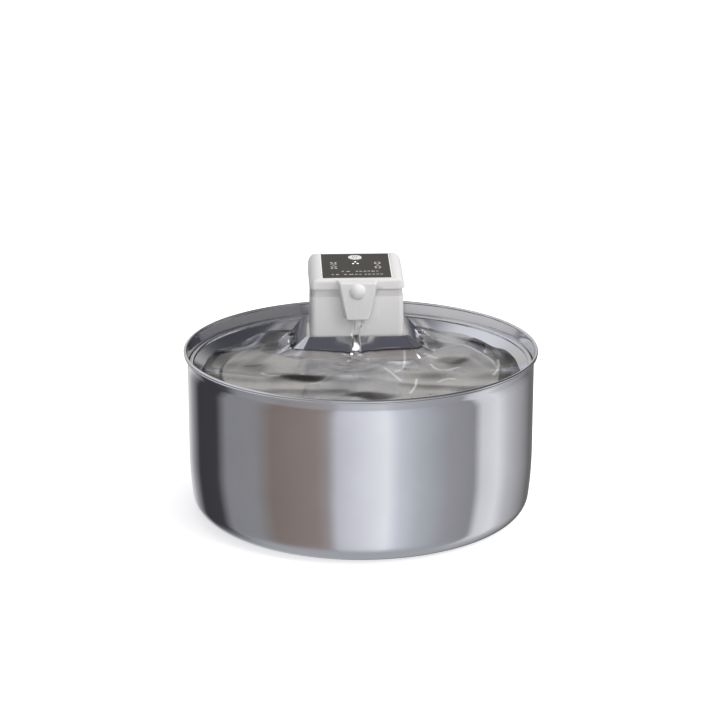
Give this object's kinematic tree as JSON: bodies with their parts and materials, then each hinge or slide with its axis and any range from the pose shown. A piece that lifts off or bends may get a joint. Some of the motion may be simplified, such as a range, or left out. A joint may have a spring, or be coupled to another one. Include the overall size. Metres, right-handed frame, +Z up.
{
  "type": "pet water fountain",
  "caption": "Round steel pet fountain bowl with a lift-out drinking tray and a cordless box-shaped pump unit with motion sensor, spout, filter drawer and charging socket.",
  "frame": {"origin": "centre of the bowl's underside, at the height of the base pads' resting faces", "axes": "+Z up, +X to the right seen from the front, +Y to the back, where the pump unit stands; -Y is the front"},
  "size_m": [0.225, 0.225, 0.1424],
  "materials": {
    "bowl_steel": "drawn stainless steel, satin polished",
    "tray_steel": "drawn stainless steel, polished",
    "white_shell": "moulded food-safe plastic, satin",
    "dark_panel": "printed overlay, satin gloss",
    "key_white": "smooth",
    "lens_white": "milky lens, satin",
    "clear_plastic": "clear, polished",
    "clear_silicone": "translucent",
    "white_silicone": "matte",
    "grey_silicone": "matte",
    "small_steel": "plated",
    "circuit_board": "solder mask",
    "grey_plastic": "moulded",
    "dark_plastic": "moulded",
    "drawer_plastic": "moulded",
    "impeller_plastic": "moulded",
    "shaft_ceramic": "ground",
    "core_iron": "laminated",
    "magnet_dark": "sintered",
    "copper": "enamelled wire",
    "cell_wrap": "shrink wrap over a metal can",
    "lead_rubber": "insulated lead",
    "foam": "open-cell foam",
    "filter_fabric": "non-woven bag"
  },
  "bodies": {
    "bowl": {"reservoir_bowl": "bowl_steel", "base_pads": "grey_silicone", "tray_rests": "tray_steel"},
    "tray": {"drinking_tray": "tray_steel"},
    "pump_unit": {"lower_housing": "white_shell", "upper_housing": "white_shell", "top_cover": "white_shell", "control_panel": "dark_panel", "light_pipes": "clear_plastic", "sensor_dome": "lens_white", "motion_sensor": "small_steel", "sensor_board": "circuit_board", "spout_nozzle": "clear_plastic", "riser_tube": "clear_silicone", "collar_gasket": "white_silicone", "housing_gasket": "grey_silicone", "cover_gasket": "grey_silicone", "cover_screws": "small_steel", "housing_screws": "small_steel", "inlet_plate_screws": "small_steel", "port_cover_pin": "small_steel", "charging_port": "small_steel", "charge_board": "circuit_board", "pump_volute": "grey_plastic", "inlet_plate": "grey_plastic", "rotor_can": "grey_plastic", "impeller_shaft": "shaft_ceramic", "stator_core": "core_iron", "stator_coils": "copper", "battery_holder": "grey_plastic", "battery_cell_left": "cell_wrap", "battery_cell_right": "cell_wrap", "battery_contacts": "small_steel", "main_board": "circuit_board", "mode_switch": "dark_plastic", "pump_lead": "lead_rubber"},
    "impeller": {"impeller": "impeller_plastic", "rotor_magnet": "magnet_dark"},
    "filter_drawer": {"filter_drawer": "drawer_plastic", "pre_filter_sponge": "foam", "filter_cartridge": "filter_fabric"},
    "mode_button": {"mode_button": "key_white"},
    "port_cover": {"port_cover": "white_silicone"}
  },
  "joints": [
    {"name": "tray_lift", "type": "slide", "parent": "bowl", "child": "tray", "axis": [0, 0, 1], "range_m": [0, 0.12]},
    {"name": "unit_lift", "type": "slide", "parent": "tray", "child": "pump_unit", "axis": [0, 0, 1], "range_m": [0, 0.105]},
    {"name": "drawer_pull", "type": "slide", "parent": "pump_unit", "child": "filter_drawer", "axis": [0, -1, 0], "range_m": [0, 0.042]},
    {"name": "impeller_spin", "type": "hinge", "parent": "pump_unit", "child": "impeller", "pos_m": [0, 0.07475, 0.045], "axis": [0, 0, 1], "continuous": true},
    {"name": "button_press", "type": "slide", "parent": "pump_unit", "child": "mode_button", "axis": [0, 0.108, -0.9942], "range_m": [0, 0.0006], "stiffness_N_per_m": 60, "springref_m": -0.002},
    {"name": "port_cover_hinge", "type": "hinge", "parent": "pump_unit", "child": "port_cover", "pos_m": [0, 0.1008, 0.1215], "axis": [1, 0, 0], "range_deg": [0, 100]}
  ]
}
